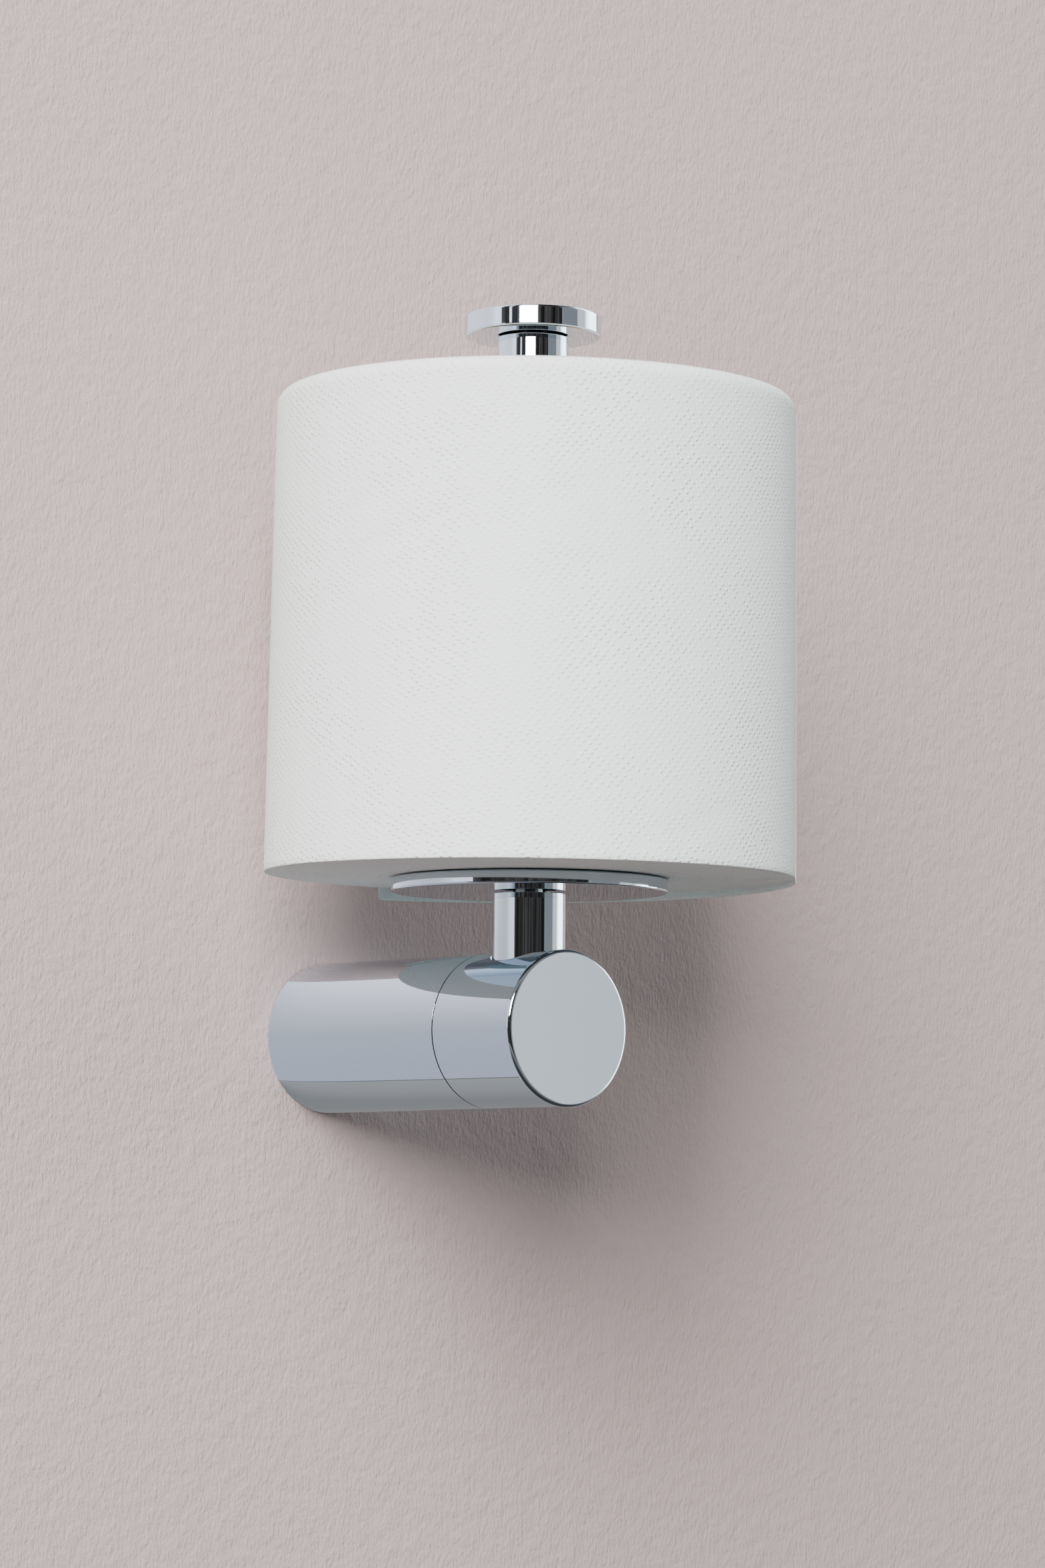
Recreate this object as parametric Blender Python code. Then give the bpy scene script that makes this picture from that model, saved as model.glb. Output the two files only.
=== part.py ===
"""Wall holder for one upright paper roll, modelled as the separate pieces it is assembled from.

Frame: metres, +Z up. The wall is the plane y = 0 and the holder stands out of it along -Y.
The origin is the centre of the wall bracket's flat back, on the axis of the horizontal bar.
"""

import math

import bmesh
import bpy
from mathutils import Vector

# Fits shared by every piece
GAP = 0.0003             # clearance between pieces that touch
EDGE_BREAK = 0.0004      # rounding of the polished outer edges
SMALL_BREAK = 0.0003     # rounding of the edges that meet at a seam

# Horizontal bar: a tube against the wall, then a solid head
BAR_RADIUS = 0.0170
BAR_BORE = 0.0146
POST_FROM_WALL = 0.0700  # wall to the axis of the upright post
SEAM_FROM_WALL = 0.05775
FRONT_FROM_WALL = 0.0832
WEB_FROM_WALL = 0.0447   # rear face of the web that the head is bolted to
WEB_THICKNESS = 0.0050
SPIGOT_RADIUS = BAR_BORE - GAP

# Wall bracket, its screws and plugs
BRACKET_LENGTH = 0.0140
GROOVE_FROM_WALL = 0.0070
GROOVE_DEPTH = 0.0012
SCREW_OFFSET = 0.0075    # each side of the bar's axis
SCREW_RADIUS = 0.0020
SCREW_HOLE_RADIUS = 0.0024
SCREW_HEAD_RADIUS = 0.0040
SCREW_HEAD_HEIGHT = 0.0027
SCREW_REACH = 0.0320     # how far the screw goes into the wall
SCREW_SEAT = 0.0050      # wall to the seat of the counterbore
COUNTERBORE_RADIUS = 0.0045
PLUG_RADIUS = 0.0030
PLUG_BORE = SCREW_RADIUS + GAP
PLUG_MOUTH = 0.0026      # depth of the plug's mouth behind the wall's surface
PLUG_END = 0.0345

# M6 bolt and washer that hold the head on the tube, and the M5 set screw
BOLT_RADIUS = 0.0030
BOLT_HOLE_RADIUS = BOLT_RADIUS + GAP
BOLT_HEAD_RADIUS = 0.0050
BOLT_HEAD_HEIGHT = 0.0060
BOLT_END = 0.0620
BOLT_SOCKET_RADIUS = 0.0029
WASHER_RADIUS = 0.0059
WASHER_THICKNESS = 0.0016
SET_SCREW_RADIUS = 0.0025
SET_SCREW_TIP = 0.0137   # from the bar's axis
SET_SCREW_END = 0.0165
SET_SOCKET_RADIUS = 0.00145
SET_SCREW_TURN = (0.0, math.radians(-30.0), 0.0)  # from straight down, round the bar's axis

# Upright: post, support disc and finial, clamped together by one threaded rod
POST_RADIUS = 0.0080
POST_BORE = 0.0036
POST_SEAT = 0.0070       # floor of the head's socket, above the bar's axis
DISC_RADIUS = 0.0302
DISC_UNDERSIDE = 0.0298
DISC_THICKNESS = 0.0029
FINIAL_RADIUS = 0.01515
FINIAL_UNDERSIDE = 0.1520
FINIAL_THICKNESS = 0.0047
ROD_BOTTOM = -0.0052
ROD_TOP = 0.1550
ROD_HOLE_BOTTOM = -0.0060
ROD_HOLE_TOP = ROD_TOP + GAP

# Paper roll
CORE_RADIUS = 0.0215
CORE_WALL = 0.0009
CORE_HEIGHT = 0.1052
PAPER_RADIUS = 0.0578
PAPER_HEIGHT = 0.1053
PAPER_CLEARANCE = 0.0004  # above the support disc
PAPER_SHOULDER = 0.0035   # rounding of the upper outer edge
SHEET_THICKNESS = 0.0004
SHEET_START_DEG = -41.0   # where the last sheet leaves the roll, from +X towards +Y
SHEET_END_DEG = 85.0
SHEET_DROP_START = 0.0004  # how far the sheet's lower edge hangs below the roll
SHEET_DROP_END = 0.0019

DISC_TOP = DISC_UNDERSIDE + DISC_THICKNESS
ALONG_BAR = (math.pi / 2, 0.0, 0.0)        # turns a piece's own +Z to -Y, out of the wall
ON_POST = (0.0, -POST_FROM_WALL, 0.0)

CHROME = ((0.72, 0.73, 0.74), 0.06, 1.0)
ZINC = ((0.60, 0.60, 0.58), 0.35, 1.0)
STEEL = ((0.55, 0.55, 0.54), 0.30, 1.0)
DARK_STEEL = ((0.12, 0.12, 0.12), 0.40, 1.0)
PLUG_GREY = ((0.55, 0.56, 0.57), 0.55, 0.0)
CARDBOARD = ((0.55, 0.44, 0.32), 0.90, 0.0)
TISSUE = ((0.84, 0.86, 0.84), 0.95, 0.0)


def clear_scene():
    """Removes every object that the file was opened with."""
    for thing in list(bpy.data.objects):
        bpy.data.objects.remove(thing, do_unlink=True)


def finish_material(name, finish):
    """A Principled material with the piece's colour, roughness and metallic value."""
    colour, roughness, metallic = finish
    material = bpy.data.materials.new(name)
    material.use_nodes = True
    shader = material.node_tree.nodes["Principled BSDF"]
    shader.inputs["Base Color"].default_value = (*colour, 1.0)
    shader.inputs["Roughness"].default_value = roughness
    shader.inputs["Metallic"].default_value = metallic
    material.diffuse_color = (*colour, 1.0)
    return material


def corner_arc(before, corner, after, radius, steps):
    """Points of the arc that rounds one corner of an outline."""
    into, out = (before - corner).normalized(), (after - corner).normalized()
    half = into.angle(out) / 2
    centre = corner + (into + out).normalized() * (radius / math.sin(half))
    start = corner + into * (radius / math.tan(half)) - centre
    end = corner + out * (radius / math.tan(half)) - centre
    whole = start.angle(end)
    points = []
    for step in range(steps + 1):
        share = step / steps
        a = math.sin((1 - share) * whole) / math.sin(whole)
        b = math.sin(share * whole) / math.sin(whole)
        points.append(centre + start * a + end * b)
    return points


def rounded(corners, steps=2):
    """An outline of (radius, height) points from corners of (radius, height, rounding)."""
    places = [Vector(corner[:2]) for corner in corners]
    outline = []
    for index, (_, _, rounding) in enumerate(corners):
        if rounding == 0:
            outline.append(places[index])
            continue
        before, after = places[index - 1], places[(index + 1) % len(places)]
        outline += corner_arc(before, places[index], after, rounding, steps)
    return outline


def add_turned(bm, outline, sides, is_ring, centre=(0.0, 0.0)):
    """Spins an outline once round the +Z line through centre. A ring's outline is a closed loop."""
    verts = [bm.verts.new((centre[0] + r, centre[1], z)) for r, z in outline]
    edges = [bm.edges.new(pair) for pair in zip(verts, verts[1:])]
    if is_ring:
        edges.append(bm.edges.new((verts[-1], verts[0])))
    bmesh.ops.spin(bm, geom=verts + edges, cent=(*centre, 0.0), axis=(0.0, 0.0, 1.0),
                   angle=math.tau, steps=sides, use_merge=True, use_duplicate=False)
    bmesh.ops.remove_doubles(bm, verts=bm.verts, dist=1e-6)


def make_object(name, bm, location, rotation):
    """Turns a bmesh into a smooth-shaded object with its faces pointing out."""
    bmesh.ops.recalc_face_normals(bm, faces=bm.faces)
    mesh = bpy.data.meshes.new(name)
    bm.to_mesh(mesh)
    bm.free()
    mesh.shade_smooth()
    mesh.set_sharp_from_angle(angle=math.radians(30))
    thing = bpy.data.objects.new(name, mesh)
    bpy.context.collection.objects.link(thing)
    thing.location = location
    thing.rotation_euler = rotation
    return thing


def turned(name, finish, corners, sides, is_ring=False, location=(0, 0, 0), rotation=(0, 0, 0)):
    """A named piece turned about its own +Z axis."""
    bm = bmesh.new()
    add_turned(bm, rounded(corners), sides, is_ring)
    thing = make_object(name, bm, location, rotation)
    thing.data.materials.append(finish_material(name, finish))
    return thing


def cut(target, cutter):
    """Cuts the target with a hidden cutter that stays in the scene."""
    cutter.hide_render = True
    cutter.display_type = "WIRE"
    boolean = target.modifiers.new(cutter.name, "BOOLEAN")
    boolean.operation = "DIFFERENCE"
    boolean.solver = "EXACT"
    boolean.object = cutter


def turned_cutter(name, steps, sides, centres=((0.0, 0.0),), location=(0, 0, 0), rotation=(0, 0, 0)):
    """A stepped drill: each step is (radius, from, to), one after the other along +Z."""
    bm = bmesh.new()
    corners = [(0.0, steps[0][1], 0)]
    for radius, low, high in steps:
        corners += [(radius, low, 0), (radius, high, 0)]
    corners.append((0.0, steps[-1][2], 0))
    for centre in centres:
        add_turned(bm, rounded(corners), sides, False, centre)
    return make_object(name, bm, location, rotation)


def hex_outline(radius):
    """Six points on a circle: the hexagon of a socket key."""
    turns = [math.tau * side / 6 for side in range(6)]
    return [(radius * math.cos(turn), radius * math.sin(turn)) for turn in turns]


def cross_outline(reach, half_width):
    """The plus-shaped outline of a cross recess, as twelve points."""
    arm = [(reach, -half_width), (reach, half_width), (half_width, half_width)]
    points = []
    for quarter in range(4):
        cos, sin = round(math.cos(quarter * math.pi / 2)), round(math.sin(quarter * math.pi / 2))
        points += [(x * cos - y * sin, x * sin + y * cos) for x, y in arm]
    return points


def prism_cutter(name, outline, low, high, location=(0, 0, 0), rotation=(0, 0, 0)):
    """A straight-sided cutter: a flat outline of (x, y) points, extruded from one height to another."""
    bm = bmesh.new()
    bottom = bm.faces.new([bm.verts.new((x, y, low)) for x, y in outline])
    raised = bmesh.ops.extrude_face_region(bm, geom=[bottom])["geom"]
    verts = [item for item in raised if isinstance(item, bmesh.types.BMVert)]
    bmesh.ops.translate(bm, verts=verts, vec=(0.0, 0.0, high - low))
    return make_object(name, bm, location, rotation)


def wall_bracket():
    """The boss that is screwed to the wall, grooved for the set screw."""
    edge = 0.0005
    groove = GROOVE_FROM_WALL
    corners = [
        (0.0, 0.0, 0),
        (SPIGOT_RADIUS, 0.0, edge),
        (SPIGOT_RADIUS, groove - GROOVE_DEPTH, 0),
        (SPIGOT_RADIUS - GROOVE_DEPTH, groove, 0),
        (SPIGOT_RADIUS, groove + GROOVE_DEPTH, 0),
        (SPIGOT_RADIUS, BRACKET_LENGTH, edge),
        (0.0, BRACKET_LENGTH, 0),
    ]
    bracket = turned("wall_bracket", ZINC, corners, 48, rotation=ALONG_BAR)
    overshoot = 0.001
    steps = [(SCREW_HOLE_RADIUS, -overshoot, SCREW_SEAT),
             (COUNTERBORE_RADIUS, SCREW_SEAT, BRACKET_LENGTH + overshoot)]
    centres = [(-SCREW_OFFSET, 0.0), (SCREW_OFFSET, 0.0)]
    cut(bracket, turned_cutter("cut_screw_holes", steps, 24, centres, rotation=ALONG_BAR))


def wall_screw(name, side):
    """A pan-head screw through the bracket, with a cross recess."""
    seat = SCREW_SEAT + GAP
    top = seat + SCREW_HEAD_HEIGHT
    point_length = 0.004
    corners = [
        (0.0, -SCREW_REACH, 0),
        (SCREW_RADIUS, point_length - SCREW_REACH, 0),
        (SCREW_RADIUS, seat, 0),
        (SCREW_HEAD_RADIUS, seat, 0.0004),
        (SCREW_HEAD_RADIUS, top, 0.0013),
        (0.0, top, 0),
    ]
    place = (side, 0.0, 0.0)
    screw = turned(name, STEEL, corners, 20, location=place, rotation=ALONG_BAR)
    recess_depth = 0.0015
    recess = cross_outline(0.0020, 0.0005)
    cut(screw, prism_cutter("cut_" + name, recess, top - recess_depth, top + 0.001,
                            location=place, rotation=ALONG_BAR))


def wall_plug(name, side):
    """A ribbed plug in the wall, open at the mouth, round its screw."""
    ribs = 4
    rib_depth = 0.0003
    pitch = (PLUG_END - PLUG_MOUTH) / (ribs + 1)
    corners = [(0.0, -PLUG_END, 0), (0.0018, -PLUG_END, 0)]
    for rib in range(ribs):
        crest = -PLUG_END + pitch * (rib + 0.6)
        corners += [(PLUG_RADIUS, crest, 0), (PLUG_RADIUS - rib_depth, crest + pitch / 2, 0)]
    floor = -SCREW_REACH - 2 * GAP
    corners += [
        (PLUG_RADIUS, -PLUG_MOUTH, 0),
        (PLUG_BORE, -PLUG_MOUTH, 0),
        (PLUG_BORE, floor, 0),
        (0.0, floor, 0),
    ]
    turned(name, PLUG_GREY, corners, 16, location=(side, 0.0, 0.0), rotation=ALONG_BAR)


def bar_sleeve():
    """The tube that slides over the bracket, with an inner web for the head's bolt."""
    front = SEAM_FROM_WALL - GAP / 2
    web_front = WEB_FROM_WALL + WEB_THICKNESS
    corners = [
        (BAR_RADIUS, GAP, SMALL_BREAK),
        (BAR_RADIUS, front, SMALL_BREAK),
        (BAR_BORE, front, 0),
        (BAR_BORE, web_front, 0),
        (BOLT_HOLE_RADIUS, web_front, 0),
        (BOLT_HOLE_RADIUS, WEB_FROM_WALL, 0),
        (BAR_BORE, WEB_FROM_WALL, 0),
        (BAR_BORE, GAP, 0),
    ]
    sleeve = turned("bar_sleeve", CHROME, corners, 64, True, rotation=ALONG_BAR)
    steps = [(SET_SCREW_RADIUS + GAP, -BAR_RADIUS - 0.001, -0.010)]
    cut(sleeve, turned_cutter("cut_set_screw_hole", steps, 20, location=(0, -GROOVE_FROM_WALL, 0),
                              rotation=SET_SCREW_TURN))


def sleeve_set_screw():
    """The cone-point screw low on the sleeve's far side, which draws it against the wall."""
    cone = 0.0010
    shoulder = SET_SCREW_TIP + cone + 0.0003
    corners = [
        (0.0, -SET_SCREW_END, 0),
        (SET_SCREW_RADIUS, -SET_SCREW_END, 0),
        (SET_SCREW_RADIUS, -shoulder, 0),
        (cone, -SET_SCREW_TIP - cone, 0),
        (0.0, -SET_SCREW_TIP, 0),
    ]
    place = (0, -GROOVE_FROM_WALL, 0)
    screw = turned("sleeve_set_screw", DARK_STEEL, corners, 20, location=place,
                   rotation=SET_SCREW_TURN)
    socket_depth = 0.0012
    socket = prism_cutter("cut_set_screw_socket", hex_outline(SET_SOCKET_RADIUS),
                          -SET_SCREW_END - 0.001, -SET_SCREW_END + socket_depth, location=place,
                          rotation=SET_SCREW_TURN)
    cut(screw, socket)


def head_bolt():
    """The socket-head bolt that holds the head against the sleeve's web."""
    seat = WEB_FROM_WALL - 2 * GAP - WASHER_THICKNESS
    top = seat - BOLT_HEAD_HEIGHT
    corners = [
        (0.0, top, 0),
        (BOLT_HEAD_RADIUS, top, 0.0005),
        (BOLT_HEAD_RADIUS, seat, 0),
        (BOLT_RADIUS, seat, 0),
        (BOLT_RADIUS, BOLT_END, 0.0005),
        (0.0, BOLT_END, 0),
    ]
    bolt = turned("head_bolt", DARK_STEEL, corners, 24, rotation=ALONG_BAR)
    socket_depth = 0.003
    cut(bolt, prism_cutter("cut_bolt_socket", hex_outline(BOLT_SOCKET_RADIUS),
                           top - 0.001, top + socket_depth, rotation=ALONG_BAR))


def head_bolt_washer():
    """The washer between the bolt's head and the web."""
    high = WEB_FROM_WALL - GAP
    low = high - WASHER_THICKNESS
    corners = [
        (WASHER_RADIUS, low, 0),
        (WASHER_RADIUS, high, 0),
        (BOLT_HOLE_RADIUS, high, 0),
        (BOLT_HOLE_RADIUS, low, 0),
    ]
    turned("head_bolt_washer", STEEL, corners, 24, True, rotation=ALONG_BAR)


def front_head():
    """The solid front of the bar: a spigot behind, a socket for the post on top."""
    rear = SEAM_FROM_WALL + GAP / 2
    spigot_end = WEB_FROM_WALL + WEB_THICKNESS + GAP
    corners = [
        (0.0, spigot_end, 0),
        (SPIGOT_RADIUS, spigot_end, SMALL_BREAK),
        (SPIGOT_RADIUS, rear, 0),
        (BAR_RADIUS, rear, SMALL_BREAK),
        (BAR_RADIUS, FRONT_FROM_WALL, EDGE_BREAK),
        (0.0, FRONT_FROM_WALL, 0),
    ]
    head = turned("front_head", CHROME, corners, 64, rotation=ALONG_BAR)
    bolt_steps = [(BOLT_HOLE_RADIUS, spigot_end - 0.001, BOLT_END + 0.001)]
    cut(head, turned_cutter("cut_bolt_hole", bolt_steps, 24, rotation=ALONG_BAR))
    post_steps = [(BOLT_HOLE_RADIUS, ROD_HOLE_BOTTOM, POST_SEAT),
                  (POST_RADIUS + GAP, POST_SEAT, BAR_RADIUS + 0.002)]
    cut(head, turned_cutter("cut_post_socket", post_steps, 48, location=ON_POST))


def post_tube(name, low, high):
    """A length of the round post, bored for the rod."""
    corners = [
        (POST_RADIUS, low, 0),
        (POST_RADIUS, high, 0),
        (POST_BORE, high, 0),
        (POST_BORE, low, 0),
    ]
    turned(name, CHROME, corners, 48, True, location=ON_POST)


def support_disc():
    """The flat disc that the roll stands on."""
    corners = [
        (DISC_RADIUS, DISC_UNDERSIDE, EDGE_BREAK),
        (DISC_RADIUS, DISC_TOP, EDGE_BREAK),
        (POST_BORE, DISC_TOP, 0),
        (POST_BORE, DISC_UNDERSIDE, 0),
    ]
    turned("support_disc", CHROME, corners, 80, True, location=ON_POST)


def finial():
    """The round cap on top, tapped from below for the rod."""
    top = FINIAL_UNDERSIDE + FINIAL_THICKNESS
    corners = [
        (0.0, top, 0),
        (FINIAL_RADIUS, top, EDGE_BREAK),
        (FINIAL_RADIUS, FINIAL_UNDERSIDE, EDGE_BREAK),
        (BOLT_HOLE_RADIUS, FINIAL_UNDERSIDE, 0),
        (BOLT_HOLE_RADIUS, ROD_HOLE_TOP, 0),
        (0.0, ROD_HOLE_TOP, 0),
    ]
    turned("finial", CHROME, corners, 64, location=ON_POST)


def tie_rod():
    """The threaded rod from the head through post and disc into the finial."""
    corners = [
        (0.0, ROD_BOTTOM, 0),
        (BOLT_RADIUS, ROD_BOTTOM, 0.0005),
        (BOLT_RADIUS, ROD_TOP, 0.0005),
        (0.0, ROD_TOP, 0),
    ]
    turned("tie_rod", STEEL, corners, 24, location=ON_POST)


def roll_axis():
    """The empty on the post's axis, at the disc's top, that the roll's pieces hang on."""
    axis = bpy.data.objects.new("roll_axis", None)
    axis.empty_display_size = 0.02
    axis.location = (0.0, -POST_FROM_WALL, DISC_TOP)
    bpy.context.collection.objects.link(axis)
    return axis


def cardboard_core(axis):
    """The roll's tube, which passes over the finial when the roll is changed."""
    corners = [
        (CORE_RADIUS, GAP, 0),
        (CORE_RADIUS, GAP + CORE_HEIGHT, 0),
        (CORE_RADIUS - CORE_WALL, GAP + CORE_HEIGHT, 0),
        (CORE_RADIUS - CORE_WALL, GAP, 0),
    ]
    turned("cardboard_core", CARDBOARD, corners, 48, True).parent = axis


def paper_roll(axis):
    """The wound paper."""
    low, high = PAPER_CLEARANCE, PAPER_CLEARANCE + PAPER_HEIGHT
    corners = [
        (PAPER_RADIUS, low, SMALL_BREAK),
        (PAPER_RADIUS, high, PAPER_SHOULDER),
        (CORE_RADIUS + GAP, high, 0),
        (CORE_RADIUS + GAP, low, 0),
    ]
    bm = bmesh.new()
    add_turned(bm, rounded(corners, 3), 96, True)
    roll = make_object("paper_roll", bm, (0, 0, 0), (0, 0, 0))
    roll.data.materials.append(finish_material("paper_roll", TISSUE))
    roll.parent = axis


def loose_sheet(axis):
    """The last sheet, which has come away from the roll and hangs a little low at its end."""
    radius = PAPER_RADIUS + GAP
    start, end = math.radians(SHEET_START_DEG), math.radians(SHEET_END_DEG)
    height = PAPER_HEIGHT - PAPER_SHOULDER
    bm = bmesh.new()
    ends = [bm.verts.new((radius * math.cos(start), radius * math.sin(start), z)) for z in (0.0, height)]
    edge = bm.edges.new(ends)
    bmesh.ops.spin(bm, geom=[*ends, edge], cent=(0, 0, 0), axis=(0, 0, 1), angle=end - start,
                   steps=30, use_merge=False, use_duplicate=False)
    for vert in bm.verts:
        share = ((math.atan2(vert.co.y, vert.co.x) - start) / (end - start))
        vert.co.z += PAPER_CLEARANCE - SHEET_DROP_START - share * (SHEET_DROP_END - SHEET_DROP_START)
    bmesh.ops.recalc_face_normals(bm, faces=bm.faces)
    if sum(face.normal.dot(face.calc_center_median()) for face in bm.faces) < 0:
        bmesh.ops.reverse_faces(bm, faces=bm.faces)
    mesh = bpy.data.meshes.new("loose_sheet")
    bm.to_mesh(mesh)
    bm.free()
    sheet = bpy.data.objects.new("loose_sheet", mesh)
    bpy.context.collection.objects.link(sheet)
    sheet.data.materials.append(finish_material("loose_sheet", TISSUE))
    solid = sheet.modifiers.new("thickness", "SOLIDIFY")
    solid.thickness = SHEET_THICKNESS
    solid.offset = 1.0
    sheet.parent = axis


def main():
    clear_scene()
    wall_bracket()
    for hand, side in (("left", -SCREW_OFFSET), ("right", SCREW_OFFSET)):
        wall_screw("wall_screw_" + hand, side)
        wall_plug("wall_plug_" + hand, side)
    bar_sleeve()
    sleeve_set_screw()
    head_bolt()
    head_bolt_washer()
    front_head()
    post_tube("lower_post", POST_SEAT + GAP, DISC_UNDERSIDE - GAP)
    support_disc()
    post_tube("upper_post", DISC_TOP + GAP, FINIAL_UNDERSIDE - GAP)
    tie_rod()
    finial()
    axis = roll_axis()
    cardboard_core(axis)
    paper_roll(axis)
    loose_sheet(axis)


main()
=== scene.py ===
"""Looks of the wall-mounted holder that carries one upright paper roll on a post.

Metres, +Z up. The wall is the plane y = 0 and the holder stands out of it along -Y, with the
centre of the wall bracket's back at the origin. Azimuths are degrees round +Z from -Y to +X.
"""

import math

import bmesh
import bpy
from bpy.props import FloatProperty, FloatVectorProperty, PointerProperty
from mathutils import Matrix, Vector, noise


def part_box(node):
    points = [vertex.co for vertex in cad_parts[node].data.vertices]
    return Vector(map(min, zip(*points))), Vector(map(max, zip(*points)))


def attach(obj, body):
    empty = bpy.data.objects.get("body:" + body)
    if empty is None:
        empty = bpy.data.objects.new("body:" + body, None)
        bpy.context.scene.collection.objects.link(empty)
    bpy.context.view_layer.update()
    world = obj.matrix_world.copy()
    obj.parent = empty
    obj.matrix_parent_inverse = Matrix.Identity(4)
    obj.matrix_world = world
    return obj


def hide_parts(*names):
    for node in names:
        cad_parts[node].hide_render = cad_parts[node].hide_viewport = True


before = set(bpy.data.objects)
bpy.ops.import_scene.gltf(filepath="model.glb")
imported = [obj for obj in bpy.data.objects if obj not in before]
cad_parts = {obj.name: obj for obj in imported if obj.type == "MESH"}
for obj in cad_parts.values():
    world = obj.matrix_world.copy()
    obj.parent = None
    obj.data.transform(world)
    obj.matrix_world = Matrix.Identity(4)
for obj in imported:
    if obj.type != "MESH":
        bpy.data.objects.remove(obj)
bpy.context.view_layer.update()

bl_info = {
    "name": "Upright Roll Holder",
    "version": (1, 0, 0),
    "blender": (4, 5, 0),
    "location": "View3D > Sidebar > Roll Holder",
    "description": "Builds the pieces, finishes and studio of a wall-mounted upright roll holder",
    "category": "Object",
}


# ---------------- sizes read from the frame

def from_wall(node):
    """How far a node's back and its front stand from the wall."""
    low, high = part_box(node)
    return -high.y, -low.y


def heights(node):
    """A node's lowest and highest z."""
    low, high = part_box(node)
    return low.z, high.z


def radius_of(node):
    """The radius of a round node, taken across x."""
    low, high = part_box(node)
    return (high.x - low.x) / 2


POST_CENTRE = (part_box("lower_post")[0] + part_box("lower_post")[1]) / 2
POST_AXIS = Vector((0.0, POST_CENTRE.y, 0.0))
BAR_RADIUS = radius_of("bar_sleeve")
POST_RADIUS = radius_of("lower_post")
SLEEVE_BACK, SLEEVE_FRONT = from_wall("bar_sleeve")
SPIGOT_END, HEAD_FRONT = from_wall("front_head")
POST_SEAT, POST_TOP = heights("lower_post")
DISC_LOW, DISC_HIGH = heights("support_disc")
DISC_RADIUS = radius_of("support_disc")
UPPER_LOW, UPPER_HIGH = heights("upper_post")
FINIAL_LOW, FINIAL_HIGH = heights("finial")
CORE_LOW, CORE_HIGH = heights("cardboard_core")
CORE_RADIUS = radius_of("cardboard_core")
PAPER_LOW, PAPER_HIGH = heights("paper_roll")
PAPER_RADIUS = radius_of("paper_roll")
SET_SCREW_Y = (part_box("sleeve_set_screw")[0].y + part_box("sleeve_set_screw")[1].y) / 2
PLUG_RADIUS = radius_of("wall_plug_left")

FIT = 0.0003              # clearance between pieces that touch
BAR_BORE = 0.0146
SPIGOT_RADIUS = BAR_BORE - FIT
WEB_BACK = 0.0447
WEB_FRONT = 0.0497
BOLT_HOLE = 0.0033
ROD_BORE = 0.0036
SET_SCREW_HOLE = 0.0028
SET_SCREW_TURN = math.radians(-30.0)    # round the bar's axis, from straight down
SEAM_GROOVE = 0.002       # how deep and long the hidden groove behind the seam is
POST_EDGE = 0.00015
SCREW_RIM = 0.0002
SOCKET_RIM = 0.00035
CORE_WALL = 0.0009
CORE_EDGE = 0.0002
PLY = 0.00014             # thickness of the last sheet
CHROME_SIDES = 192


# ---------------- settings shown in the panel

class ChromeSettings(bpy.types.PropertyGroup):
    tint: FloatVectorProperty(
        name="Tint", description="Reflectivity of the plating", subtype="COLOR",
        default=(0.70, 0.79, 0.86), min=0.0, max=1.0)
    roughness: FloatProperty(
        name="Roughness", description="Roughness of the polished plating", subtype="FACTOR",
        default=0.03, min=0.0, max=1.0)
    edge: FloatProperty(
        name="Edge", description="Rounding of the polished edges", unit="LENGTH",
        default=0.0004, min=0.0001, max=0.001)
    seam_edge: FloatProperty(
        name="Seam edge", description="Rounding of the edges that meet at the seam",
        unit="LENGTH", default=0.00006, min=0.00002, max=0.001)
    head_edge: FloatProperty(
        name="Head edge", description="Rounding of the head's front edge", unit="LENGTH",
        default=0.0009, min=0.0001, max=0.002)
    finial_edge: FloatProperty(
        name="Finial edge", description="Rounding of the finial's edges", unit="LENGTH",
        default=0.0006, min=0.0001, max=0.002)


class PaperSettings(bpy.types.PropertyGroup):
    colour: FloatVectorProperty(
        name="Colour", description="Colour of the tissue", subtype="COLOR",
        default=(0.82, 0.90, 0.875), min=0.0, max=1.0)
    dot_pitch: FloatProperty(
        name="Dot pitch", description="Distance between embossed dots", unit="LENGTH",
        default=0.0015, min=0.0005, max=0.01)
    dot_height: FloatProperty(
        name="Dot height", description="Height of the embossed dots", unit="LENGTH",
        default=0.00016, min=0.0, max=0.001)
    layer_pitch: FloatProperty(
        name="Layer pitch", description="Thickness of one wound layer", unit="LENGTH",
        default=0.00034, min=0.0001, max=0.002)
    lean: FloatVectorProperty(
        name="Lean", description="How far the roll's top has slipped sideways", size=2,
        subtype="XYZ", unit="LENGTH", default=(0.00045, -0.00085))
    slip: FloatVectorProperty(
        name="Slip", description="How far the outer windings have slipped down on +X and +Y",
        size=2, subtype="XYZ", unit="LENGTH", default=(-0.0001, -0.0006))
    slip_rise: FloatProperty(
        name="Slip rise", description="How far the outer windings have slipped up all round",
        unit="LENGTH", default=0.0003, min=-0.002, max=0.002)
    taper: FloatProperty(
        name="Taper", description="How much slimmer the roll is at its top", unit="LENGTH",
        default=0.0009, min=0.0, max=0.005)


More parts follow.
